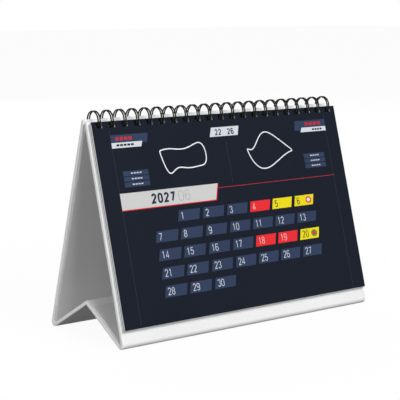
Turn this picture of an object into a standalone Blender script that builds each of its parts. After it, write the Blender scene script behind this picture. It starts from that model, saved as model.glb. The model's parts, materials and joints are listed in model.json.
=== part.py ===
"""Desk calendar: a folding stand of wrapped board, a twin-loop wire along its
ridge and a pad of punched leaves hanging in front.

The spine runs along X. The pad faces -Y and Z is up. The stand rests on z = 0
and the origin is under the middle of the whole object. Every panel is drawn in
its own frame, held by an empty at the panel's fold.
"""
import math

import bmesh
import bpy
import numpy as np
from mathutils import Euler, Vector

# ---- driving dimensions, in millimetres and degrees -------------------------
PAGE_W = 180.0          # leaf width
PAGE_H = 113.5          # leaf height
LEAF_T = 0.34           # one card leaf
LEAF_GAP = 0.06         # air between two leaves
LEAF_COUNT = 7

BOARD_SIDE = 1.1        # board past the leaves, each side
BOARD_TOP = 0.6         # front board past the leaves' top edge
LIP = 6.92              # leaves' bottom edge above the front fold's axis
BOARD_T = 2.5           # front and back board, wrapped
BACK_RISE = 1.3         # back board's top above the line where the boards touch
LEAN_FRONT = 15.6       # front board from the vertical
LEAN_BACK = 16.2        # back board from the vertical
TOUCH_GAP = 0.3         # between the boards where they nearly touch

FOLD_R = 2.7            # outer radius of the two foot folds
FOOT_FLAT = 1.0         # width of the worn flat under each foot
BASE_T = 2.3            # base panels, wrapped
RIDGE_Z = 18.75         # inside of the ridge above the table
RIDGE_OFF = -0.5        # ridge off the middle of the two feet, + to the rear
RIDGE_CLEAR = 2.7       # each base panel stops this far short of the ridge
CREASE_GAP = 0.15       # between a crease strip and its panels

WRAP_T = 0.2            # covering paper
LINER_T = 0.2           # inner lining paper
GLUE_GAP = 0.05         # glue line between laminations
TURN_IN = 12.0          # covering paper turned over the inside
LINER_INSET = 1.5       # lining stops short of the board's edges

HOLE_COUNT = 21
HOLE_PITCH = 8.48       # three holes to the inch, as measured
HOLE_FIRST = 4.65       # first hole centre from the leaf's left edge
HOLE_W = 4.2
HOLE_TOP = 0.95         # margin from a leaf's top edge to its holes
LEAF_HOLE_H = 2.55
BOARD_HOLE_LOW = 4.55   # front board's holes reach this far below the leaves' top
BACK_HOLE_LOW = -4.85   # back board's holes, from the touching line
BACK_HOLE_HIGH = -1.5
WIRE_CLEAR = 0.12       # least room between the wire and a leaf's hole

RING_R = 5.3            # wire loops, centre line
RING_IN = 1.6           # loop centre in front of the front fold's axis plane
RING_RISE = 1.38        # loop centre above the leaves' top edge
WIRE_D = 0.86
STRAND_GAP = 1.38       # between the two strands of a loop
LINK_ANGLE = 21.5       # links between loops, behind the front board
TIP_ANGLE = 44.0        # where a loop's strands turn back
WIRE_CORNER = 0.45      # chamfer where a link turns into a strand
STRAND_POINTS = 13

# ---- derived geometry, in millimetres ---------------------------------------
MM = 0.001
LEAN_F, LEAN_B = math.radians(LEAN_FRONT), math.radians(LEAN_BACK)
BOARD_W = PAGE_W + 2 * BOARD_SIDE
LEAF_TOP = LIP + PAGE_H
FRONT_TOP = LEAF_TOP + BOARD_TOP
FOLD_Z = math.sqrt(FOLD_R ** 2 - (FOOT_FLAT / 2) ** 2)
STACK_T = LEAF_COUNT * (LEAF_T + LEAF_GAP)
RING_UP = LEAF_TOP + RING_RISE


def up_front(u, n, origin=(0.0, 0.0)):
    """Point u up the front board and n out of it, in (y, z)."""
    return (origin[0] + u * math.sin(LEAN_F) - n * math.cos(LEAN_F),
            origin[1] + u * math.cos(LEAN_F) + n * math.sin(LEAN_F))


# The front fold sits so that the leaves' front edge and the rear fold are
# equally far from y = 0: first with the fold at y = 0, then moved.
front_inner = FOLD_R - BOARD_T
corner = up_front(FRONT_TOP, front_inner, (0.0, FOLD_Z))
touch = (corner[0] + TOUCH_GAP / 2 * math.cos(LEAN_B),
         corner[1] + TOUCH_GAP / 2 * math.sin(LEAN_B))
rear_off = TOUCH_GAP / 2 - front_inner      # rear fold's axis off the touch line
BACK_LEN = (touch[1] + rear_off * math.sin(LEAN_B) - FOLD_Z) / math.cos(LEAN_B)
rear_y = touch[0] + BACK_LEN * math.sin(LEAN_B) + rear_off * math.cos(LEAN_B)
pad_y = up_front(LIP, FOLD_R + STACK_T, (0.0, FOLD_Z))[0]
shift = -(min(pad_y, -FOLD_R) + rear_y + FOLD_R) / 2

FRONT_FOLD = (shift, FOLD_Z)
REAR_FOLD = (rear_y + shift, FOLD_Z)
TOUCH = (touch[0] + shift, touch[1])
RING = up_front(RING_UP, RING_IN, FRONT_FOLD)
RIDGE = ((FRONT_FOLD[0] + REAR_FOLD[0]) / 2 + RIDGE_OFF, RIDGE_Z)


def base_slope(fold):
    """Angle and length of a base panel's underside from its fold to the ridge."""
    span, rise = abs(RIDGE[0] - fold[0]), RIDGE[1] - fold[1]
    reach = math.hypot(span, rise)
    return (math.atan2(rise, span) + math.asin(FOLD_R / reach),
            math.sqrt(reach ** 2 - FOLD_R ** 2))


FRONT_BASE_A, FRONT_BASE_L = base_slope(FRONT_FOLD)
REAR_BASE_A, REAR_BASE_L = base_slope(REAR_FOLD)
HOLES = [HOLE_FIRST - PAGE_W / 2 + i * HOLE_PITCH for i in range(HOLE_COUNT)]

GREYBOARD = ("greyboard", (0.42, 0.41, 0.39, 1.0), 0.95, 0.0)
WHITE_WRAP = ("white_wrap", (0.86, 0.86, 0.86, 1.0), 0.55, 0.0)
LINING = ("lining", (0.80, 0.80, 0.80, 1.0), 0.7, 0.0)
CARD = ("card", (0.90, 0.90, 0.90, 1.0), 0.5, 0.0)
BLACK_WIRE = ("black_wire", (0.015, 0.015, 0.018, 1.0), 0.35, 0.0)



def leaf_back(k):
    """Rear face of leaf k + 1, out from the front fold's axis plane."""
    return FOLD_R + LEAF_GAP + (LEAF_COUNT - 1 - k) * (LEAF_T + LEAF_GAP)


def leaf_sag(k):
    """How much lower leaf k + 1 hangs than the first.

    The leaves are punched alike, and the loop is lower inside the pad than at
    its front, so a leaf hangs down until its hole clears the wire's outside.
    """
    step = math.radians((360.0 + LINK_ANGLE - TIP_ANGLE) / (STRAND_POINTS - 1))
    outside = RING_R / math.sqrt(math.cos(step / 2)) + WIRE_D / 2
    drop = math.sqrt(outside ** 2 - (leaf_back(k) - RING_IN) ** 2) - RING_RISE
    return max(0.0, drop + WIRE_CLEAR - HOLE_TOP - LEAF_HOLE_H)


# ---- helpers ----------------------------------------------------------------
def clear_scene():
    for ob in list(bpy.data.objects):
        bpy.data.objects.remove(ob, do_unlink=True)


def paint(ob, look):
    name, colour, rough, metal = look
    mat = bpy.data.materials.new(ob.name + "_" + name)
    mat.use_nodes = True
    shader = mat.node_tree.nodes["Principled BSDF"]
    shader.inputs["Base Color"].default_value = colour
    shader.inputs["Roughness"].default_value = rough
    shader.inputs["Metallic"].default_value = metal
    ob.data.materials.append(mat)


def place(ob, parent=None):
    bpy.context.scene.collection.objects.link(ob)
    if parent is not None:
        ob.parent = parent
    return ob


def frame(name, at, tilt):
    """Empty at (y, z), turned about X."""
    empty = bpy.data.objects.new(name, None)
    empty.location = Vector((0.0, at[0], at[1])) * MM
    empty.rotation_euler = Euler((tilt, 0.0, 0.0))
    return place(empty)


def mesh_object(name, bm, parent=None, look=None):
    bmesh.ops.recalc_face_normals(bm, faces=bm.faces)
    mesh = bpy.data.meshes.new(name)
    bm.to_mesh(mesh)
    bm.free()
    ob = place(bpy.data.objects.new(name, mesh), parent)
    if look:
        paint(ob, look)
    return ob


def add_box(bm, x, y, z):
    """Box between the pairs x, y and z, in millimetres."""
    size = Vector((x[1] - x[0], y[1] - y[0], z[1] - z[0])) * MM
    mid = Vector((x[0] + x[1], y[0] + y[1], z[0] + z[1])) * (MM / 2)
    made = bmesh.ops.create_cube(bm, size=1.0)["verts"]
    bmesh.ops.scale(bm, vec=size, verts=made)
    bmesh.ops.translate(bm, vec=mid, verts=made)


def box(name, x, y, z, parent, look=None):
    bm = bmesh.new()
    add_box(bm, x, y, z)
    return mesh_object(name, bm, parent, look)


def extruded(name, outline, width, look, parent=None):
    """Prism along X from a closed outline in (y, z), centred on x = 0."""
    bm = bmesh.new()
    ring = [bm.verts.new(Vector((-width / 2, y, z)) * MM) for y, z in outline]
    cap = bm.faces.new(ring)
    made = bmesh.ops.extrude_face_region(bm, geom=[cap])["geom"]
    bmesh.ops.translate(bm, vec=Vector((width * MM, 0, 0)),
                        verts=[g for g in made if isinstance(g, bmesh.types.BMVert)])
    ob = mesh_object(name, bm, parent, look)
    ob.data.shade_smooth()
    ob.data.set_sharp_from_angle(angle=math.radians(30))
    return ob


def hide_cutter(ob):
    ob.hide_render = True
    ob.display_type = 'WIRE'
    return ob


def cut(ob, cutter):
    mod = ob.modifiers.new("cut_" + cutter.name, 'BOOLEAN')
    mod.operation = 'DIFFERENCE'
    mod.solver = 'EXACT'
    mod.object = cutter


def punch(name, y, z, parent):
    """Row of rectangular hole cutters, through y, between the heights z."""
    bm = bmesh.new()
    for x in HOLES:
        add_box(bm, (x - HOLE_W / 2, x + HOLE_W / 2), y, z)
    return hide_cutter(mesh_object(name, bm, parent))


# ---- wrapped panels ---------------------------------------------------------
def panel(name, parent, along, across, inner, outer, closed_top, holes=None):
    """Board core, covering paper turned in round it, and lining paper.

    along is the panel's range away from its fold, on the local axis across
    ('Z' or 'Y'). inner and outer are the two faces on the other axis.
    closed_top folds the covering over the far end too.
    """
    side = 1.0 if outer > inner else -1.0
    half = BOARD_W / 2
    near, far = along
    end = 1.0 if far > near else -1.0

    def solid(node, x, run, depth, look=None):
        run, depth = sorted(run), sorted(depth)
        yz = (depth, run) if across == 'Z' else (run, depth)
        return box(node, x, yz[0], yz[1], parent, look)

    sheet = outer - side * (WRAP_T + GLUE_GAP)
    flange = inner + side * (LINER_T + GLUE_GAP)
    core_in = flange + side * (WRAP_T + GLUE_GAP)
    core_half = half - WRAP_T - GLUE_GAP
    core_far = far - end * (WRAP_T + GLUE_GAP) if closed_top else far

    wrap = solid(name + "_wrap", (-half, half), (near, far), (flange, outer), WHITE_WRAP)
    past = end * 5.0
    pocket_far = far - end * WRAP_T if closed_top else far + past
    pocket = solid(name + "_pocket", (-half + WRAP_T, half - WRAP_T),
                   (near - past, pocket_far),
                   (flange + side * WRAP_T, outer - side * WRAP_T))
    window_far = far - end * TURN_IN if closed_top else far + past
    window = solid(name + "_window", (-half + TURN_IN, half - TURN_IN),
                   (near - past, window_far), (flange - side * 5.0, flange + side * 0.8))
    cut(wrap, hide_cutter(pocket))
    cut(wrap, hide_cutter(window))

    core = solid(name + "_core", (-core_half, core_half), (near, core_far),
                 (core_in, sheet), GREYBOARD)
    lining = solid(name + "_liner", (-half + LINER_INSET, half - LINER_INSET),
                   (near, far - end * LINER_INSET), (inner, inner + side * LINER_T),
                   LINING)
    if holes:
        for ob in (wrap, core, lining):
            cut(ob, holes)


def crease_outline(centre, start, stop, inner_start, inner_stop, steps=14):
    """Bent strip round a foot fold, flattened where it stands on the table."""
    low = math.degrees(math.asin(centre[1] / FOLD_R))
    angles = [start + (stop - start) * i / steps for i in range(steps + 1)]
    angles = [a for a in angles if not 180 + low <= a <= 360 - low]
    angles = sorted(angles + [180 + low, 360 - low])
    points = []
    for a in angles:
        r = math.radians(a)
        points.append((centre[0] + FOLD_R * math.cos(r), centre[1] + FOLD_R * math.sin(r)))
    for a, depth in ((stop, inner_stop), (start, inner_start)):
        r = math.radians(a)
        points.append((centre[0] + depth * math.cos(r), centre[1] + depth * math.sin(r)))
    return points


# ---- wire -------------------------------------------------------------------
def wire_path():
    """Centre line of the twin-loop wire as (x, angle) points round the ring.

    The angle is from straight down the front board towards the back, and a
    strand runs from its link forwards, over the top and down behind.
    """
    half = STRAND_GAP / 2
    step = math.degrees(WIRE_CORNER / RING_R)
    turn = math.degrees(half / RING_R)
    first, last = LINK_ANGLE - step, TIP_ANGLE - 360.0
    strand = [first + (last - first) * i / (STRAND_POINTS - 1)
              for i in range(STRAND_POINTS)]
    diag = math.sqrt(0.5)
    path = [(HOLES[0] - half - WIRE_CORNER - 1.5 * WIRE_D, LINK_ANGLE)]
    for x in HOLES:
        path.append((x - half - WIRE_CORNER, LINK_ANGLE))
        path += [(x - half, a) for a in strand]
        path += [(x - half * diag, last - turn * diag), (x, last - turn),
                 (x + half * diag, last - turn * diag)]
        path += [(x + half, a) for a in reversed(strand)]
        path.append((x + half + WIRE_CORNER, LINK_ANGLE))
    path.append((HOLES[-1] + half + WIRE_CORNER + 1.5 * WIRE_D, LINK_ANGLE))
    return path


def wire_points():
    # The corners lie as far outside the round loop as the straight runs
    # between them lie inside it.
    step = (360.0 + LINK_ANGLE - TIP_ANGLE) / (STRAND_POINTS - 1)
    reach = RING_R / math.sqrt(math.cos(math.radians(step / 2)))
    points = []
    for x, angle in wire_path():
        a = math.radians(angle)
        u, n = RING_UP - reach * math.cos(a), RING_IN - reach * math.sin(a)
        points.append((x, *up_front(u, n, FRONT_FOLD)))
    return points


def least_self_gap(points):
    """Smallest gap of the tube to itself, measured on points along it."""
    line, run = [], [0.0]
    for a, b in zip(points, points[1:]):
        a, b = np.array(a), np.array(b)
        parts = max(2, int(np.linalg.norm(b - a) / 0.15))
        for i in range(parts):
            line.append(a + (b - a) * i / parts)
    line = np.array(line)
    run = np.concatenate([[0.0], np.cumsum(np.linalg.norm(np.diff(line, axis=0), axis=1))])
    least = 1e9
    for i in range(0, len(line), 2):
        near = np.linalg.norm(line - line[i], axis=1)
        far_along = np.abs(run - run[i]) > 2.6 * WIRE_D
        least = min(least, near[far_along].min())
    return least - WIRE_D


def twin_loop():
    points = wire_points()
    curve = bpy.data.curves.new("twin_loop_wire", 'CURVE')
    curve.dimensions = '3D'
    curve.bevel_depth = WIRE_D / 2 * MM
    curve.bevel_resolution = 1
    curve.use_fill_caps = True
    spline = curve.splines.new('POLY')
    spline.points.add(len(points) - 1)
    for point, co in zip(spline.points, points):
        point.co = (co[0] * MM, co[1] * MM, co[2] * MM, 1.0)
    spline.use_smooth = True
    ob = place(bpy.data.objects.new("twin_loop_wire", curve))
    paint(ob, BLACK_WIRE)
    print("least gap of the wire to itself: %.3f mm" % least_self_gap(points))


# ---- the object -------------------------------------------------------------
def build():
    clear_scene()

    # Front board and pad, in a frame at the front fold; local Z up the board,
    # local -Y out towards the viewer.
    front = frame("front_frame", FRONT_FOLD, -LEAN_F)
    front_holes = punch("front_punch", (-FOLD_R - 5.0, 5.0),
                        (LEAF_TOP - BOARD_HOLE_LOW, LEAF_TOP - HOLE_TOP), front)
    panel("front_board", front, (CREASE_GAP, FRONT_TOP), 'Z',
          -front_inner, -FOLD_R, True, front_holes)
    for k in range(LEAF_COUNT):
        back, top = leaf_back(k), LEAF_TOP - leaf_sag(k)
        leaf = box("leaf_%d" % (k + 1), (-PAGE_W / 2, PAGE_W / 2),
                   (-back - LEAF_T, -back), (top - PAGE_H, top), front, CARD)
        cut(leaf, punch("leaf_%d_punch" % (k + 1), (-back - LEAF_T - 5.0, -back + 5.0),
                        (top - HOLE_TOP - LEAF_HOLE_H, top - HOLE_TOP), front))

    # Back board, in a frame on the line where it touches the front board;
    # local Z up the board, local Y out to the rear.
    rear = frame("back_frame", TOUCH, LEAN_B)
    back_in = TOUCH_GAP / 2
    back_holes = punch("back_punch", (-5.0, back_in + BOARD_T + 5.0),
                       (BACK_HOLE_LOW, BACK_HOLE_HIGH), rear)
    panel("back_board", rear, (-BACK_LEN + CREASE_GAP, BACK_RISE), 'Z',
          back_in, back_in + BOARD_T, True, back_holes)

    # Base panels, in frames at the folds; local Y points to the rear, so the
    # rear panel runs along -Y, and the undersides face local -Z.
    base_in = FOLD_R - BASE_T
    front_base = frame("front_base_frame", FRONT_FOLD, FRONT_BASE_A)
    panel("front_base", front_base, (CREASE_GAP, FRONT_BASE_L - RIDGE_CLEAR), 'Y',
          -base_in, -FOLD_R, False)
    rear_base = frame("rear_base_frame", REAR_FOLD, -REAR_BASE_A)
    panel("rear_base", rear_base, (-CREASE_GAP, -REAR_BASE_L + RIDGE_CLEAR), 'Y',
          -base_in, -FOLD_R, False)

    # Folds of the wrapped board: two feet and the ridge between the bases.
    extruded("front_foot_crease",
             crease_outline(FRONT_FOLD, 180 - LEAN_FRONT, 270 + math.degrees(FRONT_BASE_A),
                            front_inner, base_in), BOARD_W, WHITE_WRAP)
    extruded("rear_foot_crease",
             crease_outline(REAR_FOLD, 270 - math.degrees(REAR_BASE_A), 360 + LEAN_BACK,
                            base_in, front_inner), BOARD_W, WHITE_WRAP)
    cut_back = RIDGE_CLEAR - CREASE_GAP
    ca, sa = math.cos(FRONT_BASE_A), math.sin(FRONT_BASE_A)
    cb, sb = math.cos(REAR_BASE_A), math.sin(REAR_BASE_A)
    rise = BASE_T / math.cos((FRONT_BASE_A + REAR_BASE_A) / 2)
    lean = (REAR_BASE_A - FRONT_BASE_A) / 2
    y, z = RIDGE
    extruded("ridge_crease",
             [(y, z), (y + cut_back * cb, z - cut_back * sb),
              (y + cut_back * cb + BASE_T * sb, z - cut_back * sb + BASE_T * cb),
              (y + rise * math.sin(lean), z + rise * math.cos(lean)),
              (y - cut_back * ca - BASE_T * sa, z - cut_back * sa + BASE_T * ca),
              (y - cut_back * ca, z - cut_back * sa)], BOARD_W, WHITE_WRAP)

    twin_loop()
    print("spread stand: front fold y %.3f, rear fold y %.3f, fold z %.3f"
          % (FRONT_FOLD[0], REAR_FOLD[0], FOLD_Z))
    print("boards meet at y %.3f z %.3f, loop centre y %.3f z %.3f, ridge y %.3f z %.3f"
          % (*TOUCH, *RING, *RIDGE))
    print("leaves hang lower by", " ".join("%.3f" % leaf_sag(k) for k in range(LEAF_COUNT)))
    print("base slopes %.3f and %.3f degrees"
          % (math.degrees(FRONT_BASE_A), math.degrees(REAR_BASE_A)))


build()
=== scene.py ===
"""Desk calendar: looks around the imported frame.

A folding stand of wrapped greyboard, a black twin-loop wire and a pad of seven
punched card leaves. x runs along the ridge, y to the rear and z up. Lengths here
are millimetres until a mesh is written.
"""
import json
import math

import bpy
import numpy as np
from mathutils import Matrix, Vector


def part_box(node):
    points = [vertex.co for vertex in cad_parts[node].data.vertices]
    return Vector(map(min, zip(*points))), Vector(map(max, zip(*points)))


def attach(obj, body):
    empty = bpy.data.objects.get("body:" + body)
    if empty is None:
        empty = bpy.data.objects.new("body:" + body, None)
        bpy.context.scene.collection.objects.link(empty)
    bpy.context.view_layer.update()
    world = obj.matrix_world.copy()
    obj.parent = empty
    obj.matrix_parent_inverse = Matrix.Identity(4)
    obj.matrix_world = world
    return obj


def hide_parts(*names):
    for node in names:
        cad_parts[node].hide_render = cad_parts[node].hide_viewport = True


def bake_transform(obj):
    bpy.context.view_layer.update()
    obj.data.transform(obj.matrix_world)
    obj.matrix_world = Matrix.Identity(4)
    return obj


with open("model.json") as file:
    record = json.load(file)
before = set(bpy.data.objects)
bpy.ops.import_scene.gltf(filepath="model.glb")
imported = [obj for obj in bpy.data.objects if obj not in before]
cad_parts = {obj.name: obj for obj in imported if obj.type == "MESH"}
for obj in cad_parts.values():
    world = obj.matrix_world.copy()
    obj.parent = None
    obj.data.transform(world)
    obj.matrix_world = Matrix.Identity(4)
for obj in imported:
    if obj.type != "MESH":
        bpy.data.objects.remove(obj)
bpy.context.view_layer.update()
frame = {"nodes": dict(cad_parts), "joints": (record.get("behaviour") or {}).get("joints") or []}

MM = 0.001
AXES = {j["name"]: np.array(j["pos_m"][1:], float) / MM for j in frame["joints"]}
FRONT_FOLD = AXES["front_base_fold"]
REAR_FOLD = AXES["rear_base_fold"]
TOUCH = AXES["stand_fold"]          # line where the two boards nearly meet
LOOPS = AXES["leaf_1_turn"]         # middle of the wire's loops

# ---- sizes shared with the solids --------------------------------------------
LEAN_F, LEAN_B = math.radians(15.6), math.radians(16.2)
PAGE_W, PAGE_H, BOARD_W = 180.0, 113.5, 182.2
LIP = 6.92                          # front board below the first leaf
BOARD_TOP, BACK_RISE = 0.6, 1.3     # boards above the leaf and above TOUCH
BOARD_T, BASE_T, FOLD_R = 2.5, 2.3, 2.7
TOUCH_HALF = 0.15                   # half the gap between the boards at TOUCH
LINER = 0.25                        # lining paper and its glue line
LEAF_T, LEAF_PITCH, LEAF_COUNT = 0.34, 0.40, 7
# Holes: their width, and how far below the first leaf's top they start and end.
HOLE_W, HOLE_TOP, LEAF_HOLE_LOW, BOARD_HOLE_LOW = 4.2, 0.95, 3.5, 4.55
BACK_HOLE = (-4.85, -1.5)           # heights on the back board, from TOUCH
HOLE_PITCH, HOLE_COUNT = 8.48, 21
HOLES = 4.65 - PAGE_W / 2 + HOLE_PITCH * np.arange(HOLE_COUNT)
LEAF_TOP = LIP + PAGE_H
PAGE_FACE = FOLD_R + LEAF_PITCH * LEAF_COUNT
RING_R, WIRE_R = 5.3, 0.43          # loops' mean radius, and the wire's own
STRAND_HALF = 0.69                  # half the way between a loop's two strands
# Where the links and the loops' tips lie, round the loops from straight down.
LINK_AT, TIP_AT = math.radians(21.5), math.radians(44.0)
RIDGE_Z, RIDGE_OFF = 18.75, -0.5    # underside of the ridge, and how far off centre
RIDGE = np.array([(FRONT_FOLD[0] + REAR_FOLD[0]) / 2 + RIDGE_OFF, RIDGE_Z])

# ---- sizes of the looks alone --------------------------------------------------
EDGE_R = 0.45                       # paper bent round a board's edge
RIDGE_HALF = 0.02                   # half the gap between the covers at the ridge
WIRE_BEND = 0.75                    # radius where a link turns up into a strand
INK = 0.02                          # drawn height of one printed layer
COVERED = 0.6                       # share of that height on the leaves behind
FOOT_MARGIN = 1.1                   # bare strip at the foot of the leaves behind


def slope_to_ridge(fold):
    """Angle and length of the underside from a fold, tangent to its round."""
    span, rise = abs(RIDGE[0] - fold[0]), RIDGE[1] - fold[1]
    reach = math.hypot(span, rise)
    return (math.atan2(rise, span) + math.asin(FOLD_R / reach),
            math.sqrt(reach ** 2 - FOLD_R ** 2))


FRONT_BASE_A, FRONT_BASE_L = slope_to_ridge(FRONT_FOLD)
REAR_BASE_A, REAR_BASE_L = slope_to_ridge(REAR_FOLD)


# ---- places in (y, z) -----------------------------------------------------------
def turned(origin, angle, along, out):
    """origin plus along times the direction at angle, plus out times its left."""
    c, s = math.cos(angle), math.sin(angle)
    along, out = np.broadcast_arrays(np.asarray(along, float), np.asarray(out, float))
    return np.stack([origin[0] + along * c - out * s, origin[1] + along * s + out * c], -1)


def on_front(up, out):
    """Up the front board from its fold, and out of it towards the reader."""
    return turned(FRONT_FOLD, math.pi / 2 - LEAN_F, up, out)


def on_back(up, out):
    """Up the back board from the line where the boards touch, out to the rear."""
    return turned(TOUCH, math.pi / 2 + LEAN_B, up, -np.asarray(out, float))


def on_front_base(along, out):
    """Along the front base panel from its fold, out of its underside."""
    return turned(FRONT_FOLD, FRONT_BASE_A, along, -np.asarray(out, float))


def on_rear_base(along, out):
    """Along the rear base panel from its fold, out of its underside."""
    return turned(REAR_FOLD, math.pi - REAR_BASE_A, along, out)


# ---- mesh helpers ---------------------------------------------------------------
def make_piece(name, points, quads, material, body, sharp=30.0, inside=None, core=None):
    """Mesh from points in mm and faces, turned outwards by its signed volume.

    Faces marked in inside take the material core, which on the covers' hole walls holds
    painted shade. Edges sharper than the angle sharp, in degrees, stay crisp.
    """
    points = np.asarray(points, np.float64) * MM
    quads = np.asarray(quads, np.int64)
    a, b, c, d = (points[quads[:, i]] for i in range(4))
    volume = (np.einsum('ij,ij->i', a, np.cross(b, c)).sum()
              + np.einsum('ij,ij->i', a, np.cross(c, d)).sum())
    if volume < 0:
        quads = quads[:, ::-1]
    mesh = bpy.data.meshes.new(name)
    mesh.vertices.add(len(points))
    mesh.vertices.foreach_set("co", points.astype(np.float32).ravel())
    mesh.loops.add(quads.size)
    mesh.loops.foreach_set("vertex_index", quads.astype(np.int32).ravel())
    mesh.polygons.add(len(quads))
    mesh.polygons.foreach_set("loop_start", np.arange(0, quads.size, 4, dtype=np.int32))
    mesh.update(calc_edges=True)
    mesh.shade_smooth()
    mesh.set_sharp_from_angle(angle=math.radians(sharp))
    mesh.materials.append(material)
    if core:
        mesh.materials.append(core)
        mesh.polygons.foreach_set("material_index", inside.astype(np.int32))
    piece = bpy.data.objects.new(name, mesh)
    bpy.context.scene.collection.objects.link(piece)
    if body:
        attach(piece, body)
    return piece


def rim_rows(radius):
    """Distances from an edge whose spacing follows a quarter round."""
    return radius * (1 - np.cos(np.linspace(0, math.pi / 2, 5)))


def slab_mesh(xs, face, back, solid, round_x=0.0, round_start=0.0):
    """Closed sheet: the curves face and back, in (y, z), carried along x.

    Near a rounded edge both faces sink by r - sqrt(r^2 - (r - e)^2), where e is
    the distance to that edge: the two sides have round_x, and the curves' start
    has round_start. solid marks the cells that aren't holes. The third result
    marks the walls of the holes.
    """
    nx, ns = len(xs), len(face)
    steps = np.linalg.norm(np.diff((face + back) / 2, axis=0), axis=1)
    run = np.concatenate([[0], np.cumsum(steps)])
    sink = np.zeros((nx, ns))
    to_side = np.minimum(xs - xs[0], xs[-1] - xs)[:, None] + 0 * run
    to_start = run[None, :] + 0 * xs[:, None]
    for radius, edge in ((round_x, to_side), (round_start, to_start)):
        if radius:
            e = np.clip(edge, 0, radius)
            dip = radius - np.sqrt(np.maximum(radius ** 2 - (radius - e) ** 2, 0))
            sink = np.maximum(sink, dip)
    across = back - face
    across /= np.linalg.norm(across, axis=1)[:, None]
    front_yz = face[None] + across[None] * sink[..., None]
    back_yz = back[None] - across[None] * sink[..., None]
    x3 = np.broadcast_to(xs[:, None, None], (nx, ns, 1))
    points = np.concatenate([np.concatenate([x3, front_yz], -1).reshape(-1, 3),
                             np.concatenate([x3, back_yz], -1).reshape(-1, 3)])
    here = np.arange(nx * ns).reshape(nx, ns)
    there = here + nx * ns
    i, j = np.nonzero(solid)
    quads = [np.stack([here[i, j], here[i, j + 1], here[i + 1, j + 1], here[i + 1, j]], 1),
             np.stack([there[i, j], there[i + 1, j], there[i + 1, j + 1], there[i, j + 1]], 1)]
    hole_wall = [np.zeros(2 * len(i), bool)]
    # A wall stands wherever a solid cell has a hole or the outside beside it.
    wide = np.pad(solid, 1)
    for before, after, di, dj, last in ((wide[:-1, 1:-1], wide[1:, 1:-1], 0, 1, nx - 1),
                                        (wide[1:-1, :-1], wide[1:-1, 1:], 1, 0, ns - 1)):
        for starts, flip in ((after & ~before, dj), (before & ~after, di)):
            i, j = np.nonzero(starts)
            k, m = i + di, j + dj
            wall = (here[i, j], there[i, j], there[k, m], here[k, m])
            quads.append(np.stack(wall if flip else wall[::-1], 1))
            line = i if dj else j
            hole_wall.append((line > 0) & (line < last))
    quads = np.concatenate(quads)
    used, quads = np.unique(quads, return_inverse=True)
    return points[used], quads.reshape(-1, 4), np.concatenate(hole_wall)


def columns(width, radius):
    """x values of a punched sheet: its rims and both sides of each hole."""
    rim = rim_rows(radius) if radius else np.zeros(1)
    sides = np.concatenate([HOLES - HOLE_W / 2, HOLES + HOLE_W / 2])
    return np.unique(np.concatenate([-width / 2 + rim, sides, width / 2 - rim]).round(6))


def punched(xs, rows, low, high):
    """Cells of a sheet that stay after the row of holes is punched."""
    mid_x = (xs[:-1] + xs[1:]) / 2
    mid_r = (rows[:-1] + rows[1:]) / 2
    in_x = (np.abs(mid_x[:, None] - HOLES[None]) < HOLE_W / 2).any(1)
    in_r = (mid_r > low) & (mid_r < high)
    return ~(in_x[:, None] & in_r[None])


# ---- stand ----------------------------------------------------------------------
def fold_round(centre, angle, radius):
    """Arc of a foot fold at the given angles, flattened on the table."""
    points = np.stack([centre[0] + radius * np.cos(angle),
                       centre[1] + radius * np.sin(angle)], -1)
    points[:, 1] = np.maximum(points[:, 1], 0.0)
    return points


def cover(name, board, base, fold, top, board_low, base_len, holes, angles,
          nodes, material):
    """Wrapped board, foot fold and base panel as one bent, rounded sheet.

    The outer curve comes down the board, goes round the fold and runs along the
    panel's underside. The inner one lies within it by the thickness less the
    lining paper, on a round whose radius changes evenly from board to panel.
    """
    inner = FOLD_R - BOARD_T + LINER
    inner_base = FOLD_R - BASE_T + LINER
    outer_edge, inner_edge = FOLD_R, inner
    if board is on_back:
        outer_edge, inner_edge = TOUCH_HALF + BOARD_T, TOUCH_HALF + LINER
    levels = np.linspace(board_low, top, 14)[:-1]
    up = np.unique(np.concatenate([top - rim_rows(EDGE_R), holes, levels]))[::-1]
    along = np.linspace(0.0, base_len, 9)[1:]
    a = np.linspace(*angles, 23)
    hub = np.linspace(inner, inner_base, len(a))
    inner_round = np.stack([fold[0] + hub * np.cos(a), fold[1] + hub * np.sin(a)], -1)
    face = np.concatenate([board(up[:-1], outer_edge), fold_round(fold, a, FOLD_R),
                           base(along, FOLD_R)])
    back = np.concatenate([board(up[:-1], inner_edge), inner_round, base(along, inner_base)])

    # The ridge end is cut on the ridge's mitre, so that both covers meet there.
    lean = (REAR_BASE_A - FRONT_BASE_A) / 2
    rise = (BASE_T - LINER) / math.cos((FRONT_BASE_A + REAR_BASE_A) / 2)
    mitre = RIDGE + rise * np.array([math.sin(lean), math.cos(lean)])
    aside = np.array([-RIDGE_HALF if board is on_front else RIDGE_HALF, 0.0])
    back[-1] = mitre + aside
    face[-1] = RIDGE + aside

    # Rows past the board's foot get ever lower heights, clear of the holes.
    xs = columns(BOARD_W, EDGE_R)
    past = board_low - 1.0 - np.arange(len(face) - len(up) + 1)
    rows = np.concatenate([up[:-1], past])
    points, quads, inside = slab_mesh(xs, face, back, punched(xs, rows, *holes),
                                      EDGE_R, EDGE_R)
    # The holes' walls take the near-black core material: dark greyboard edge, mostly painted
    # shade.
    piece = make_piece(name, points, quads, material, None,
                       inside=inside, core=SHADED_CORE)
    board_dir = board(1.0, 0.0) - board(0.0, 0.0)
    base_dir = base(1.0, 0.0) - base(0.0, 0.0)
    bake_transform(piece)
    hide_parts(*nodes)


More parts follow.
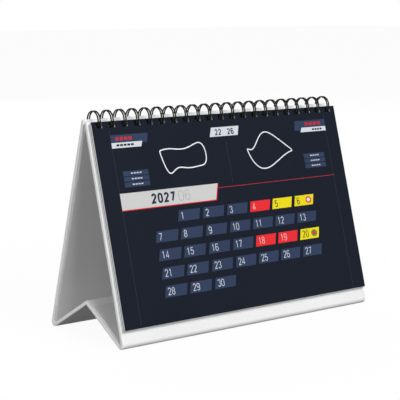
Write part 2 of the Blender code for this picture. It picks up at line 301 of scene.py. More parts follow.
# ---- wire -----------------------------------------------------------------------
def wire_line():
    """Centre line on the unrolled loop cylinder: x, and arc length w from its foot.

    A link runs along x, a quarter round turns it up a strand, a half round
    turns the strand back at the tip, and the mirror image follows.
    """
    strand_points = 52
    link_w, tip_w = RING_R * LINK_AT, RING_R * (TIP_AT - 2 * math.pi)
    quarter = np.linspace(0, math.pi / 2, 7)
    half_turn = np.linspace(0, math.pi, 15)
    up_x = np.concatenate([-STRAND_HALF - WIRE_BEND + WIRE_BEND * np.sin(quarter),
                           np.full(strand_points, -STRAND_HALF)])
    up_w = np.concatenate([link_w - WIRE_BEND + WIRE_BEND * np.cos(quarter),
                           np.linspace(link_w - WIRE_BEND, tip_w, strand_points + 2)[1:-1]])
    turn_x = -STRAND_HALF * np.cos(half_turn)
    turn_w = tip_w - STRAND_HALF * np.sin(half_turn)
    one_x = np.concatenate([up_x, turn_x, -up_x[::-1]])
    one_w = np.concatenate([up_w, turn_w, up_w[::-1]])
    x = (HOLES[:, None] + one_x[None]).ravel()
    w = np.tile(one_w, len(HOLES))
    stub = STRAND_HALF + WIRE_BEND + 2.4 * WIRE_R
    x = np.concatenate([[HOLES[0] - stub], x, [HOLES[-1] + stub]])
    w = np.concatenate([[link_w], w, [link_w]])
    return x, w


def twin_loop_wire(material):
    """Round tube along wire_line, rolled up round the loops' axis.

    The angle round the axis is w over the loops' radius, from the board's
    downward direction towards the rear. Each ring of the tube lies in the plane
    of the loop's radius and of the direction square to it and to the wire.
    """
    x, w = wire_line()
    angle = w / RING_R
    down = np.array([-math.sin(LEAN_F), -math.cos(LEAN_F)])
    rear = np.array([math.cos(LEAN_F), -math.sin(LEAN_F)])
    radial = np.cos(angle)[:, None] * down + np.sin(angle)[:, None] * rear
    centre = np.column_stack([x, LOOPS + RING_R * radial])
    radial = np.column_stack([np.zeros(len(x)), radial])
    along = np.gradient(centre, axis=0)
    along /= np.linalg.norm(along, axis=1)[:, None]
    side = np.cross(along, radial)
    side /= np.linalg.norm(side, axis=1)[:, None]
    sides = 12
    turn = np.linspace(0, 2 * math.pi, sides, endpoint=False)[None, :, None]
    rings = (centre[:, None] + WIRE_R * (np.cos(turn) * radial[:, None]
                                         + np.sin(turn) * side[:, None]))
    # Cut ends: two smaller rings, slightly rounded, closed by a fan of faces.
    caps = []
    for end, step in ((0, -1), (-1, 1)):
        for reach, share in ((0.10, 0.86), (0.16, 0.5)):
            caps.append(centre[end] + step * reach * along[end]
                        + share * (rings[end] - centre[end]))
    rings = np.concatenate([caps[1][None], caps[0][None], rings,
                            caps[2][None], caps[3][None]])
    n = len(rings)
    points = rings.reshape(-1, 3)
    here = np.arange(n * sides).reshape(n, sides)
    beside = np.roll(here, -1, axis=1)
    quads = np.stack([here[:-1], beside[:-1], beside[1:], here[1:]], -1).reshape(-1, 4)
    closing = []
    for ring in (here[0], here[-1][::-1]):
        for k in range(1, sides // 2):
            closing.append([ring[k - 1], ring[sides - k], ring[sides - k - 1], ring[k]])
    quads = np.concatenate([quads, np.array(closing)])
    piece = make_piece("twin_loop_wire_fine", points, quads, material,
                       "stand_front", 60)
    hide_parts("twin_loop_wire")


# ---- print ----------------------------------------------------------------------
def hang(leaf):
    """How far a leaf hangs below the first, from the height of its lowest corner."""
    back = PAGE_FACE - LEAF_PITCH * (leaf - 1) - LEAF_T
    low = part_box("leaf_%d" % leaf)[0][2] / MM
    return LIP - (low - FRONT_FOLD[1] - back * math.sin(LEAN_F)) / math.cos(LEAN_F)


def on_page(page, leaf):
    """Points of a leaf's face: across from its left edge, down from its top, height."""
    page = np.asarray(page, float)
    face = PAGE_FACE - LEAF_PITCH * (leaf - 1)
    yz = on_front(LEAF_TOP - hang(leaf) - page[:, 1],
                  face + page[:, 2] * (1.0 if leaf == 1 else COVERED))
    return np.column_stack([page[:, 0] - PAGE_W / 2, yz])


def prisms(corners, low, high):
    """Thin closed boxes from four-cornered outlines (k, 4, 2) on the page."""
    corners = np.asarray(corners, float)
    k = len(corners)
    base, top = (np.dstack([corners, np.full(corners.shape[:2], h)]) for h in (low, high))
    points = np.concatenate([base, top], 1).reshape(-1, 3)
    box = np.array([[3, 2, 1, 0], [4, 5, 6, 7], [0, 1, 5, 4],
                    [1, 2, 6, 5], [2, 3, 7, 6], [3, 0, 4, 7]])
    quads = (box[None] + 8 * np.arange(k)[:, None, None]).reshape(-1, 4)
    return points, quads


def ribbon(path, width, low, high, closed=False):
    """Flat line of one width along a path on the page, as a closed thin strip.

    Each point moves to both sides along the mean normal of its two edges, by
    half the width over the cosine of half the bend, which is held to 0.45.
    """
    path = np.asarray(path, float)
    if closed:
        after, before = np.roll(path, -1, axis=0), np.roll(path, 1, axis=0)
    else:
        after, before = np.vstack([path[1:], path[-1:]]), np.vstack([path[:1], path[:-1]])
    to, fro = after - path, path - before
    for edge, other in ((to, fro), (fro, to)):
        still = np.linalg.norm(edge, axis=1) < 1e-9
        edge[still] = other[still]
    to /= np.linalg.norm(to, axis=1)[:, None]
    fro /= np.linalg.norm(fro, axis=1)[:, None]
    normal = np.stack([-(to + fro)[:, 1], (to + fro)[:, 0]], -1)
    normal /= np.maximum(np.linalg.norm(normal, axis=1)[:, None], 1e-9)
    bend = np.clip((normal * np.stack([-to[:, 1], to[:, 0]], -1)).sum(1), 0.45, 1.0)
    off = normal * (width / 2 / bend)[:, None]
    left, right = path + off, path - off
    n = len(path)
    points = np.concatenate([np.column_stack([p, np.full(n, h)])
                             for h in (low, high) for p in (left, right)])
    i = np.arange(n if closed else n - 1)
    j = (i + 1) % n
    ll, lr, hl, hr = (k * n for k in range(4))
    quads = [np.stack([ll + i, ll + j, lr + j, lr + i], 1),
             np.stack([hl + i, hr + i, hr + j, hl + j], 1),
             np.stack([ll + i, hl + i, hl + j, ll + j], 1),
             np.stack([lr + i, lr + j, hr + j, hr + i], 1)]
    if not closed:
        e = n - 1
        quads.append(np.array([[ll, lr, hr, hl]]))
        quads.append(np.array([[ll + e, hl + e, hr + e, lr + e]]))
    return points, np.concatenate(quads)


def arc(cx, cy, rx, ry, start, stop, count=12):
    """Points of an ellipse about (cx, cy) between two angles in degrees."""
    a = np.radians(np.linspace(start, stop, count))
    return np.stack([cx + rx * np.cos(a), cy + ry * np.sin(a)], -1)


def numeral_strokes():
    """Centre lines of narrow upright numerals, one unit wide and two high."""
    line = np.array
    six = np.vstack([arc(.5, 1.5, .5, .5, 25, 180), arc(.5, .5, .5, .5, 180, 360),
                     arc(.5, .68, .5, .5, 0, 170)])
    return {
        "0": [np.vstack([arc(.5, 1.5, .5, .5, 0, 180), arc(.5, .5, .5, .5, 180, 360),
                         [[1.0, 1.5]]])],
        "1": [line([[.18, 1.62], [.56, 1.96], [.56, 0.0]])],
        "2": [np.vstack([arc(.5, 1.5, .5, .5, 170, -25), [[.02, 0.04]], [[1.0, 0.04]]])],
        "3": [np.vstack([arc(.48, 1.53, .46, .47, 165, -75), [[.42, 1.06]]]),
              np.vstack([[[.42, 1.06]], arc(.49, .54, .5, .54, 75, -165)])],
        "4": [line([[.74, 0.0], [.74, 1.98], [.0, .52], [1.05, .52]])],
        "5": [np.vstack([[[.95, 1.96], [.1, 1.96], [.06, 1.08]],
                         arc(.49, .64, .5, .62, 128, -160)])],
        "6": [six],
        "7": [line([[.0, 1.96], [1.0, 1.96], [.32, 0.0]])],
        "8": [np.vstack([arc(.5, 1.5, .44, .48, -90, 268, 20),
                         arc(.5, .52, .5, .5, 90, -270, 20)])],
        "9": [line([1.0, 2.0]) - six],
    }


NUMERALS = numeral_strokes()


def numbers(text, x, top, height, width, pitch, stroke, low, high):
    """Numerals of a given height with their top-left corner on the page."""
    parts = []
    for k, sign in enumerate(text):
        for path in NUMERALS[sign]:
            px = x + stroke / 2 + k * pitch + path[:, 0] * (width - stroke)
            py = top + stroke / 2 + (1 - path[:, 1] / 2) * (height - stroke)
            parts.append(ribbon(np.stack([px, py], -1), stroke, low, high))
    return parts


def joined(parts):
    """Several (points, quads) as one."""
    start, points, quads = 0, [], []
    for p, q in parts:
        points.append(p)
        quads.append(q + start)
        start += len(p)
    return np.concatenate(points), np.concatenate(quads)


def printed(name, parts, material, leaf=1):
    """Thin printed forms on one leaf, riding on it."""
    points, quads = joined(parts)
    make_piece(name if leaf == 1 else "%s_%d" % (name, leaf), on_page(points, leaf),
               quads, material, "leaf_%d" % leaf)


def plate(x0, x1, y0, y1, slant_left=0.0, slant_right=0.0):
    """Outline whose bottom corners are moved right by the slants."""
    return [[x0, y0], [x1, y0], [x1 + slant_right, y1], [x0 + slant_left, y1]]


def round_mark(cx, cy, rx, ry, low, high):
    """Flat oval prism made of strips between mirrored points of its outline."""
    count = 36
    a = np.linspace(0, math.pi, count)
    upper = np.stack([cx - rx * np.cos(a), cy - ry * np.sin(a)], -1)
    lower = np.stack([cx - rx * np.cos(a), cy + ry * np.sin(a)], -1)
    upper[[0, -1], 1] -= 0.01       # keeps the two ends from closing to a point
    lower[[0, -1], 1] += 0.01
    points = np.concatenate([np.column_stack([p, np.full(count, h)])
                             for h in (low, high) for p in (upper, lower)])
    i, j = np.arange(count - 1), np.arange(1, count)
    ul, ll, uh, lh = (k * count for k in range(4))
    e = count - 1
    quads = [np.stack([ul + i, ul + j, ll + j, ll + i], 1),
             np.stack([uh + i, lh + i, lh + j, uh + j], 1),
             np.stack([ul + i, uh + i, uh + j, ul + j], 1),
             np.stack([ll + i, ll + j, lh + j, lh + i], 1),
             np.array([[ul, ll, lh, uh]]),
             np.array([[ul + e, uh + e, lh + e, ll + e]])]
    return points, np.concatenate(quads)


# ---- materials --------------------------------------------------------------------
def ink_of(code):
    """sRGB hex to linear RGBA."""
    c = np.array([int(code[i:i + 2], 16) for i in (1, 3, 5)]) / 255
    c = np.where(c <= 0.04045, c / 12.92, ((c + 0.055) / 1.055) ** 2.4)
    return (*map(float, c), 1.0)


def add(tree, kind, links=(), **settings):
    """Node with its settings; links are (from socket, input name or number).

    A setting named after one of the node's own properties goes there. One named
    in_N goes to input number N, and any other to the input of that name.
    """
    node = tree.nodes.new(kind)
    for key, value in settings.items():
        if hasattr(node, key):
            setattr(node, key, value)
        elif key.startswith("in_"):
            node.inputs[int(key[3:])].default_value = value
        else:
            node.inputs[key.replace("_", " ")].default_value = value
    for source, target in links:
        tree.links.new(source, node.inputs[target])
    return node


def finish(name, build):
    """Material whose Principled shader build() fills in."""
    material = bpy.data.materials.new(name)
    material.use_nodes = True
    tree = material.node_tree
    shader = tree.nodes["Principled BSDF"]
    build(tree, shader)
    return material


def in_punching(tree, place):
    """Mask of painted shade: 1 on the walls of the leaves' holes, apart from the right wall of
    leaves 1 to 3.

    With p = x in hole pitches, up along the board and out from it, the walls are
    where the fraction of p is within half a hole of its middle, and up is between
    the holes' ends. The right wall counts only where out + steep * p is below the
    fourth leaf's face, a limit that rises so fast to the left that all the other
    walls are under it.
    """
    pitch, steep = HOLE_PITCH * MM, 43.5 * MM
    half = HOLE_W / 2 * MM / pitch
    wall_mid, wall_half = LEAF_TOP - 2.7, 1.85      # heights on the board
    glint_depth = 2.9 * LEAF_PITCH                  # the faces of leaves 1 to 3
    slack = 0.03 * MM / pitch
    to_half = HOLE_COUNT - 0.5 - HOLES[0] * MM / pitch   # puts a hole's middle at 0.5
    base_up = (FRONT_FOLD[0] * math.sin(LEAN_F) + FRONT_FOLD[1] * math.cos(LEAN_F)) * MM
    base_out = (-FRONT_FOLD[0] * math.cos(LEAN_F) + FRONT_FOLD[1] * math.sin(LEAN_F)) * MM

    def sums(operation, *links, **values):
        return add(tree, "ShaderNodeMath", links, operation=operation, **values).outputs[0]

    def dot(direction):
        return add(tree, "ShaderNodeVectorMath", [(place, 0)], operation="DOT_PRODUCT",
                   in_1=direction).outputs["Value"]

    cross = add(tree, "ShaderNodeSeparateXYZ", [(place, "Vector")]).outputs["X"]
    phase = sums("FRACT", (sums("MULTIPLY_ADD", (cross, 0), in_1=1 / pitch, in_2=to_half), 0))
    up = dot((0.0, math.sin(LEAN_F), math.cos(LEAN_F)))
    out = dot((0.0, -math.cos(LEAN_F), math.sin(LEAN_F)))
    along = sums("COMPARE", (phase, 0), in_1=0.5, in_2=half + slack)
    high = sums("COMPARE", (up, 0), in_1=base_up + wall_mid * MM, in_2=wall_half * MM)
    reach = sums("MULTIPLY_ADD", (phase, 0), (out, 2), in_1=steep)
    limit = base_out + (PAGE_FACE - glint_depth) * MM + steep * (0.5 + half)
    deep = sums("LESS_THAN", (reach, 0), in_1=limit)
    return sums("MULTIPLY", (sums("MULTIPLY", (along, 0), (high, 1)), 0), (deep, 1))


def paper(name, code, deep, rough, grain_mm, fleck, relief, specular, cut_side=None):
    """Paper: fibre mottling in two scales, and a soft felt relief.

    The tone goes from deep to code as fine fibre noise plus broad cloud noise
    goes from 1 - fleck to 1 + fleck, and the fibre noise also lifts the surface.
    A leaf's paper also has the colour of its cut sides, and painted shade on its hole walls.
    """
    def build(tree, shader):
        place = add(tree, "ShaderNodeTexCoord").outputs["Object"]
        fibre = add(tree, "ShaderNodeTexNoise", [(place, "Vector")],
                    Scale=1000 / grain_mm, Detail=6.0, Roughness=0.62).outputs["Fac"]
        cloud = add(tree, "ShaderNodeTexNoise", [(place, "Vector")],
                    Scale=1000 / CLOUD_MM, Detail=3.0).outputs["Fac"]
        both = add(tree, "ShaderNodeMath", [(fibre, 0), (cloud, 1)], operation="ADD")
        ramp = add(tree, "ShaderNodeMapRange", [(both.outputs[0], "Value")],
                   From_Min=1 - fleck, From_Max=1 + fleck)
        tone = add(tree, "ShaderNodeMix", [(ramp.outputs[0], 0)], data_type="RGBA",
                   in_6=ink_of(deep), in_7=ink_of(code))
        if cut_side:
            cross = add(tree, "ShaderNodeSeparateXYZ", [(place, "Vector")]).outputs["X"]
            far = add(tree, "ShaderNodeMath", [(cross, 0)], operation="ABSOLUTE")
            side = add(tree, "ShaderNodeMath", [(far.outputs[0], 0)],
                       operation="GREATER_THAN", in_1=(PAGE_W / 2 - 0.06) * MM)
            # Cut sides take cut_side; the walls of the holes take painted shade.
            for mask, ink in ((side.outputs[0], cut_side),
                              (in_punching(tree, place), HOLE_SHADE)):
                tone = add(tree, "ShaderNodeMix", [(mask, 0), (tone.outputs[2], 6)],
                           data_type="RGBA", in_7=ink_of(ink))
        tree.links.new(tone.outputs[2], shader.inputs["Base Color"])
        bump = add(tree, "ShaderNodeBump", [(fibre, "Height")],
                   Strength=relief, Distance=0.04 * MM)
        tree.links.new(bump.outputs[0], shader.inputs["Normal"])
        shader.inputs["Roughness"].default_value = rough
        shader.inputs["Specular IOR Level"].default_value = specular
    return finish(name, build)


def ink_film(name, code, deep, specular=0.15, rough=0.55):
    """Offset ink on card: flat colour in which the card's fibres barely show."""
    return paper(name, code, deep, rough, 0.8, 0.30, 0.08, specular)


def enamelled_wire(name):
    """Steel wire in black enamel: one wear noise moves its gloss, tone and relief."""
    def build(tree, shader):
        place = add(tree, "ShaderNodeTexCoord").outputs["Object"]
        wear = add(tree, "ShaderNodeTexNoise", [(place, "Vector")],
                   Scale=900.0, Detail=4.0).outputs["Fac"]
        rough = add(tree, "ShaderNodeMapRange", [(wear, "Value")], To_Min=0.24, To_Max=0.42)
        tree.links.new(rough.outputs[0], shader.inputs["Roughness"])
        tone = add(tree, "ShaderNodeMix", [(wear, 0)], data_type="RGBA",
                   in_6=ink_of("#060607"), in_7=ink_of("#0e0e10"))
        tree.links.new(tone.outputs[2], shader.inputs["Base Color"])
        shader.inputs["Specular IOR Level"].default_value = 0.22
        bump = add(tree, "ShaderNodeBump", [(wear, "Height")],
                   Strength=0.12, Distance=0.03 * MM)
        tree.links.new(bump.outputs[0], shader.inputs["Normal"])
    return finish(name, build)


CLOUD_MM = 42.0                     # breadth of the faint clouds in a sheet
HOLE_SHADE = "#101010"              # painted shade on the walls of the leaves' holes

# Smooth matt white with a hint of fibre: the stand's outside, margins and edges.
COVERING = paper("white_art_paper_on_board", "#efefef", "#e8e8e8",
                 0.55, 1.2, 0.30, 0.10, 0.12)
# Near black and quite dull: the holes through the boards. Greyboard's cut edge is dark grey; the
# rest of this darkness is painted shade, where little light gets.
SHADED_CORE = paper("greyboard_punched_edge", "#141311", "#0e0d0c", 0.90, 0.7, 0.35, 0.40, 0.05)
# A shade greyer and duller than the covering: uncoated lining paper, greyed further as painted
# shade to darken the stand's inside.
LINING = paper("white_lining_paper", "#e5e5e5", "#dedede", 0.70, 0.9, 0.30, 0.14, 0.06)
# Fine-grained white faces. Cut sides in two tones draw the pad's side as stripes: the grey one
# is partly navy ink at the leaves' edges and partly painted shade between the leaves.
CARD = paper("white_leaf_card_clean_edge", "#e2e2e1", "#d9d9d8",
             0.62, 0.5, 0.25, 0.20, 0.3, "#e4e4e3")
CARD_SHADE = paper("white_leaf_card_inked_edge", "#e2e2e1", "#d9d9d8",
                   0.62, 0.5, 0.25, 0.20, 0.3, "#a6a7aa")
# The page's ground is deep and dull; tiles and faint rules step up from it.
NAVY = ink_film("navy_offset_ink_on_card", "#181e2a", "#151a25", 0.06, 0.60)
BLUE = ink_film("slate_blue_ink", "#303e5a", "#2b3853", 0.12, 0.60)
FAINT = ink_film("faint_rule_ink", "#2c3444", "#293140", 0.12, 0.60)
# Light plates: the title's is warm grey, the small ones are cool and brighter.
PALE = ink_film("pale_grey_plate_ink", "#c9c9c8", "#c2c2c0", 0.20)
COOL = ink_film("cool_grey_plate_ink", "#cfd5db", "#c8ced4", 0.20)
# The page's only strong colours, and a duller red for its fine lines and bars.
RED = ink_film("red_ink", "#e62a31", "#dc262d")
DULL_RED = ink_film("dull_red_ink", "#b5303c", "#a82b37", 0.12)
YELLOW = ink_film("yellow_ink", "#ead916", "#e0cf12")
GREEN = ink_film("green_ink", "#2f8f46", "#2a8540")
# Bare card: the brightest thing on the page, for the two outlines.
WHITE = ink_film("white_unprinted_card", "#e9ebee", "#dfe2e6", 0.20)
# Numerals: pale on slate and red, dark on yellow and on the plates.
NUMERAL = ink_film("pale_blue_numeral_ink", "#c9d0da", "#c0c8d3")
PINK = ink_film("pink_numeral_ink", "#f6c3c2", "#efbab9")
TITLE = ink_film("dark_blue_title_ink", "#1c2747", "#192340")
OLIVE = ink_film("dark_numeral_ink", "#1c1c10", "#18180e")
THIN = ink_film("grey_numeral_ink", "#8b8d93", "#84868c")
# Black with narrow soft highlights along each strand.
WIRE = enamelled_wire("black_enamelled_wire")

# ---- assembly ---------------------------------------------------------------------
back_len = float(np.dot(TOUCH - REAR_FOLD, [-math.sin(LEAN_B), math.cos(LEAN_B)]))
cover("front_cover", on_front, on_front_base, FRONT_FOLD, LEAF_TOP + BOARD_TOP, 0.0,
      FRONT_BASE_L, (LEAF_TOP - BOARD_HOLE_LOW, LEAF_TOP - HOLE_TOP),
      (math.pi - LEAN_F, 1.5 * math.pi + FRONT_BASE_A),
      ("front_board_wrap", "front_board_core", "front_foot_crease", "front_base_wrap",
       "front_base_core", "ridge_crease"), COVERING)
cover("back_cover", on_back, on_rear_base, REAR_FOLD, BACK_RISE, -back_len,
      REAR_BASE_L, BACK_HOLE,
      (LEAN_B, -math.pi / 2 - REAR_BASE_A),
      ("back_board_wrap", "back_board_core", "rear_foot_crease", "rear_base_wrap",
       "rear_base_core"), COVERING)
twin_loop_wire(WIRE)

# Leaves 3, 4 and 7 get the grey cut sides: edge ink and painted shade between the leaves.
dressed = {"leaf_%d" % k: CARD if k % 4 in (1, 2) else CARD_SHADE
           for k in range(1, LEAF_COUNT + 1)}
for panel in ("front_board", "back_board", "front_base", "rear_base"):
    dressed[panel + "_liner"] = LINING
for node, material in dressed.items():
    frame["nodes"][node].data.materials.clear()
    frame["nodes"][node].data.materials.append(material)

# ---- the printed page: mm across from a leaf's left edge and down from its top ----
# Heights of the layers: the ground's face, tiles on it, and numerals on those.
L1, L2, L3 = INK, 2 * INK, 3 * INK
THIN_UP = INK / 2                   # a half layer, for rules and plates
COLUMN_X = (31.1, 48.4, 66.1, 83.6, 100.9, 118.1, 135.6)
ROW_Y = ((53.0, 59.1), (63.1, 69.2), (73.2, 79.5),
         (83.3, 89.6), (93.5, 99.8), (103.6, 109.9))
TILE_W, TILE_SLANT = 15.0, -1.7     # the slant is how far the foot leans left
STROKE = {BLUE: 0.38, RED: 0.36, YELLOW: 0.46}       # of the numerals on each tile
BAR_X = (15.3, 148.3)               # left edges of the two stacks of three bars
BAR_Y = ((28.2, 31.0), (31.4, 33.9), (34.4, 37.1))
FRAME_X = (10.8, 169.9)             # the two faint upright rules


def page_ground(leaf):
    """Punched navy ground over a leaf's face, to the edges on the first leaf.

    The leaves behind hang lower, and keep a bare margin where they show below it.
    """
    xs = columns(PAGE_W - (0.0 if leaf == 1 else 0.5), 0.0)
    top = LEAF_TOP - hang(leaf)
    foot = top - PAGE_H + (0.0 if leaf == 1 else FOOT_MARGIN)
    rows = np.array([foot, top - LEAF_HOLE_LOW, top - HOLE_TOP, top])
    face = PAGE_FACE - LEAF_PITCH * (leaf - 1)
    raised, sunk = (INK, 0.05) if leaf == 1 else (INK * COVERED, 0.01)
    points, quads, _ = slab_mesh(xs, on_front(rows, face + raised), on_front(rows, face - sunk),
                                 punched(xs, rows, rows[1], rows[2]))
    make_piece("ground_print_%d" % leaf, points, quads, NAVY, "leaf_%d" % leaf)


def month_grid(leaf, first, days, colours):
    """Tiles and numerals of one month; first is the column of its first day."""
    tiles = {ink: [] for ink in STROKE}
    figures = {ink: [] for ink in STROKE}
    for day in range(1, days + 1):
        row, column = divmod(day - 1 + first, 7)
        x, (y0, y1) = COLUMN_X[column], ROW_Y[row]
        ink = colours.get(day, BLUE)
        tiles[ink].append(plate(x, x + TILE_W, y0, y1, TILE_SLANT, TILE_SLANT))
        figures[ink] += numbers(str(day), x + 0.9, y0 + 1.0, 4.2, 2.15, 2.6,
                                STROKE[ink], L2, L3)
    tiles[BLUE] += [plate(10.9, 36.1, 7.9, 13.1, 0.0, -1.5),
                    plate(145.6, 170.0, 7.9, 13.7, -1.2, 0.0)]
    tiles[BLUE] += [plate(x, x + 16.9, y0, y1) for x in BAR_X for y0, y1 in BAR_Y]
    for ink, name, figure in ((BLUE, "slate", NUMERAL), (RED, "red", PINK),
                              (YELLOW, "yellow", OLIVE)):
        if tiles[ink]:
            printed(name + "_tiles", [prisms(tiles[ink], L1, L2)], ink, leaf)
            printed(name + "_tile_numerals", figures[ink], figure, leaf)


def row_of(count, x, step, width, y0, y1):
    """Even row of upright bars or dashes."""
    return [plate(x + step * k, x + step * k + width, y0, y1) for k in range(count)]


def page_heading(leaf, month, weeks):
    """Plates, rules, rows of bars, and the numerals of the year, month and weeks."""
    foot = PAGE_H - (0.1 if leaf == 1 else FOOT_MARGIN + 0.1)
    small_plates = [plate(10.9, 31.5, 12.2, 15.2, 0.0, -1.2),
                    plate(150.3, 170.0, 12.2, 15.0, -1.3, 0.0),
                    plate(80.9, 101.5, 7.9, 13.3, -1.9, -1.6)]
    title = [plate(10.9, 78.8, 40.2, 49.5, 0.0, -2.9)]
    title_rules = [plate(10.9, 75.9, 49.35, 49.85),
                   plate(78.8, 79.35, 40.2, 49.85, -3.0, -3.0)]
    bars = row_of(4, 14.0, 2.9, 2.1, 9.1, 11.1) + row_of(4, 153.4, 3.4, 2.6, 9.1, 11.1)
    dark = row_of(5, 14.0, 2.4, 1.9, 13.1, 14.2) + row_of(4, 158.8, 2.1, 1.6, 13.1, 14.2)
    pale = [dash for x in BAR_X for y in (29.2, 32.3, 35.4)
            for dash in row_of(4, x + 5.2, 1.9, 1.3, y, y + 0.65)]
    upright = ([plate(x, x + 0.25, 4.3, foot) for x in FRAME_X]
               + [plate(90.2, 90.45, 15.6, 40.6)])
    for name, parts, low, high, ink in (
            ("pale_plates", small_plates, L2, L2 + THIN_UP, COOL),
            ("title_plate", title, L2, L2 + THIN_UP, PALE),
            ("red_rules", title_rules, L1, L3, RED),
            ("long_red_rule", [plate(78.6, 170.0, 42.66, 42.98)], L1, L2, DULL_RED),
            ("red_bars", bars, L2, L3, DULL_RED),
            ("dark_dashes", dark, L2, L3, NAVY),
            ("pale_dashes", pale, L2, L3, NUMERAL),
            ("faint_rules", upright, L1, L1 + THIN_UP, FAINT)):
        printed(name, [prisms(parts, low, high)], ink, leaf)
    on_plate = (L2 + THIN_UP, L3)
    printed("year_numerals", numbers("2027", 31.2, 41.9, 5.8, 3.5, 4.3, 1.2, *on_plate),
            TITLE, leaf)
    printed("month_numerals", numbers(month, 50.0, 41.9, 5.8, 3.4, 4.6, 0.26, *on_plate),
            THIN, leaf)
    printed("week_numerals", [part for x, week in zip((83.2, 92.4), weeks)
                              for part in numbers(week, x, 9.0, 3.6, 2.1, 2.6, 0.62, *on_plate)],
            NAVY, leaf)


def outline_pair(leaf):
    """Two closed outlines: an oval with two or three waves laid round it.

    Across is a + b cos t + c cos(2t + p) on the left, and a + b cos t +
    c sin(2t + p) on the right; down adds a third wave in the same way. The
    phase p moves on with each leaf, so that no two leaves show the same pair.
    """
    t = np.linspace(0, 2 * math.pi, 160, endpoint=False)
    p = 1.3 * (leaf - 1)
    left = np.stack([56.9 + 15.6 * np.cos(t) + 2.2 * np.cos(2 * t + 0.9 + p),
                     23.8 + 7.4 * np.sin(t) + 2.4 * np.sin(3 * t + 0.4 + p)
                     + 0.8 * np.cos(5 * t)], -1)
    right = np.stack([121.4 + 16.6 * np.cos(t) + 2.4 * np.sin(2 * t + 0.5 + p),
                      23.4 + 8.2 * np.sin(t) + 2.6 * np.cos(3 * t + 1.1 + p)
                      + 0.7 * np.sin(4 * t)], -1)
    printed("outlines", [ribbon(path, 0.66, L1, L2, True) for path in (left, right)],
            WHITE, leaf)


# Leaf 1 shows the sixth month. The leaves behind it carry the months that
# follow, each starting in the column where the one before it ended.
MONTHS = ((30, ("22", "26")), (31, ("27", "30")), (31, ("31", "35")), (30, ("36", "39")),
          (31, ("40", "44")), (30, ("45", "48")), (31, ("49", "52")))
COLOURED = {4: RED, 18: RED, 19: RED, 5: YELLOW, 6: YELLOW, 20: YELLOW}
first = 1
for leaf, (days, weeks) in enumerate(MONTHS, 1):
    page_ground(leaf)
    month_grid(leaf, first, days, COLOURED if leaf == 1 else {})
    page_heading(leaf, "%02d" % (5 + leaf), weeks)
    outline_pair(leaf)
    first = (first + days) % 7

MARK_X = 145.9
for mark, cy, outer, inner_ink in (("first_mark", 56.05, RED, WHITE),
                                   ("second_mark", 76.35, GREEN, RED)):
    printed(mark + "_ring", [round_mark(MARK_X, cy, 2.37, 2.05, L2, L3)], outer)
    printed(mark + "_middle", [round_mark(MARK_X, cy, 1.35, 1.15, L3, L3 + THIN_UP)], inner_ink)

# ---- stage, light and camera --------------------------------------------------------
FLOOR_HALF = 6                      # metres
FLOOR_WHITE = 0.95                  # the rest of what shows is lit, for the shadow

floor_mesh = bpy.data.meshes.new("floor")
floor_mesh.from_pydata([(x * FLOOR_HALF, y * FLOOR_HALF, 0)
                        for x, y in ((-1, -1), (1, -1), (1, 1), (-1, 1))],
                       [], [(0, 1, 2, 3)])
floor = bpy.data.objects.new("floor", floor_mesh)
bpy.context.scene.collection.objects.link(floor)
floor_material = bpy.data.materials.new("white_studio_floor")
floor_material.use_nodes = True
tree = floor_material.node_tree
tree.nodes.remove(tree.nodes["Principled BSDF"])
ways = add(tree, "ShaderNodeLightPath")
glow = add(tree, "ShaderNodeEmission", Color=(1, 1, 1, 1), Strength=1.0)
seen = add(tree, "ShaderNodeMath", [(ways.outputs["Is Camera Ray"], 0),
                                    (ways.outputs["Is Glossy Ray"], 1)], operation="MAXIMUM")
share = add(tree, "ShaderNodeMath", [(seen.outputs[0], 0)], operation="MULTIPLY",
            in_1=FLOOR_WHITE)
# The floor shows white, and throws back only a little light under the stand.
tint = add(tree, "ShaderNodeMix", [(seen.outputs[0], 0)], data_type="RGBA",
           in_6=ink_of("#404040"), in_7=ink_of("#ffffff"))
matt = add(tree, "ShaderNodeBsdfDiffuse", [(tint.outputs[2], "Color")])
mix = add(tree, "ShaderNodeMixShader", [(share.outputs[0], 0), (matt.outputs[0], 1),
                                        (glow.outputs[0], 2)])
tree.links.new(mix.outputs[0], tree.nodes["Material Output"].inputs["Surface"])
floor_mesh.materials.append(floor_material)

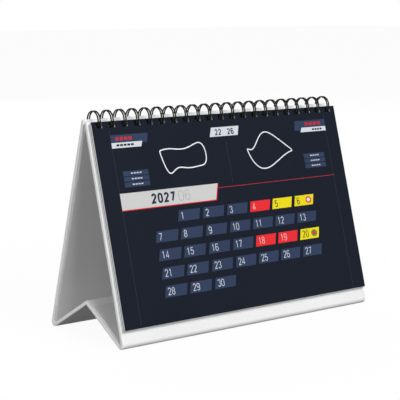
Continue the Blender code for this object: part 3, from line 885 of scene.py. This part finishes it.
# The world lights the object softly, and shows white behind it.
world = bpy.data.worlds.new("studio")
bpy.context.scene.world = world
world.use_nodes = True
tree = world.node_tree
sky = tree.nodes["Background"]
sky.inputs["Color"].default_value = (1, 1, 1, 1)
sky.inputs["Strength"].default_value = 0.33
ways = add(tree, "ShaderNodeLightPath")
white = add(tree, "ShaderNodeBackground", Color=(1, 1, 1, 1), Strength=1.0)
mix = add(tree, "ShaderNodeMixShader", [(ways.outputs["Is Camera Ray"], 0),
                                        (sky.outputs[0], 1), (white.outputs[0], 2)])
tree.links.new(mix.outputs[0], tree.nodes["World Output"].inputs["Surface"])


def soft_lamp(name, place, size, power):
    """Square area lamp at place in metres, turned to the object's middle."""
    lamp = bpy.data.lights.new(name, 'AREA')
    lamp.size, lamp.energy = size, power
    ob = bpy.data.objects.new(name, lamp)
    ob.location = place
    way = np.array((0, 0, 0.05)) - np.array(place)
    ob.rotation_euler = (math.atan2(math.hypot(way[0], way[1]), -way[2]), 0.0,
                         math.atan2(way[0], -way[1]) + math.pi)
    bpy.context.scene.collection.objects.link(ob)


soft_lamp("left", (-1.46, -0.48, 0.10), 0.7, 15.2)      # low: edges and the inside
soft_lamp("front", (0.12, -1.33, 0.94), 1.1, 22.0)      # page and lip
soft_lamp("back", (0.48, 1.36, 0.69), 1.0, 11.5)        # back board and wire

FRAME_PX = 400
LENS_PX = 1321.99                   # focal length in pixels of that frame
CENTRE_PX = (203.83, 203.74)        # where the camera's axis meets the frame
camera_data = bpy.data.cameras.new("camera")
camera = bpy.data.objects.new("camera", camera_data)
bpy.context.scene.collection.objects.link(camera)
bpy.context.scene.camera = camera
camera.location = (-0.48213, -0.60005, 0.18648)
camera.rotation_euler = (math.radians(90 - 8.866), 0.0, -math.radians(38.314))
camera_data.sensor_width = 36.0
camera_data.lens = LENS_PX * 36.0 / FRAME_PX
camera_data.shift_x = -(CENTRE_PX[0] - FRAME_PX / 2) / FRAME_PX
camera_data.shift_y = (CENTRE_PX[1] - FRAME_PX / 2) / FRAME_PX
camera_data.clip_end = 20.0

bpy.context.scene.view_settings.view_transform = 'Standard'

bpy.context.view_layer.update()
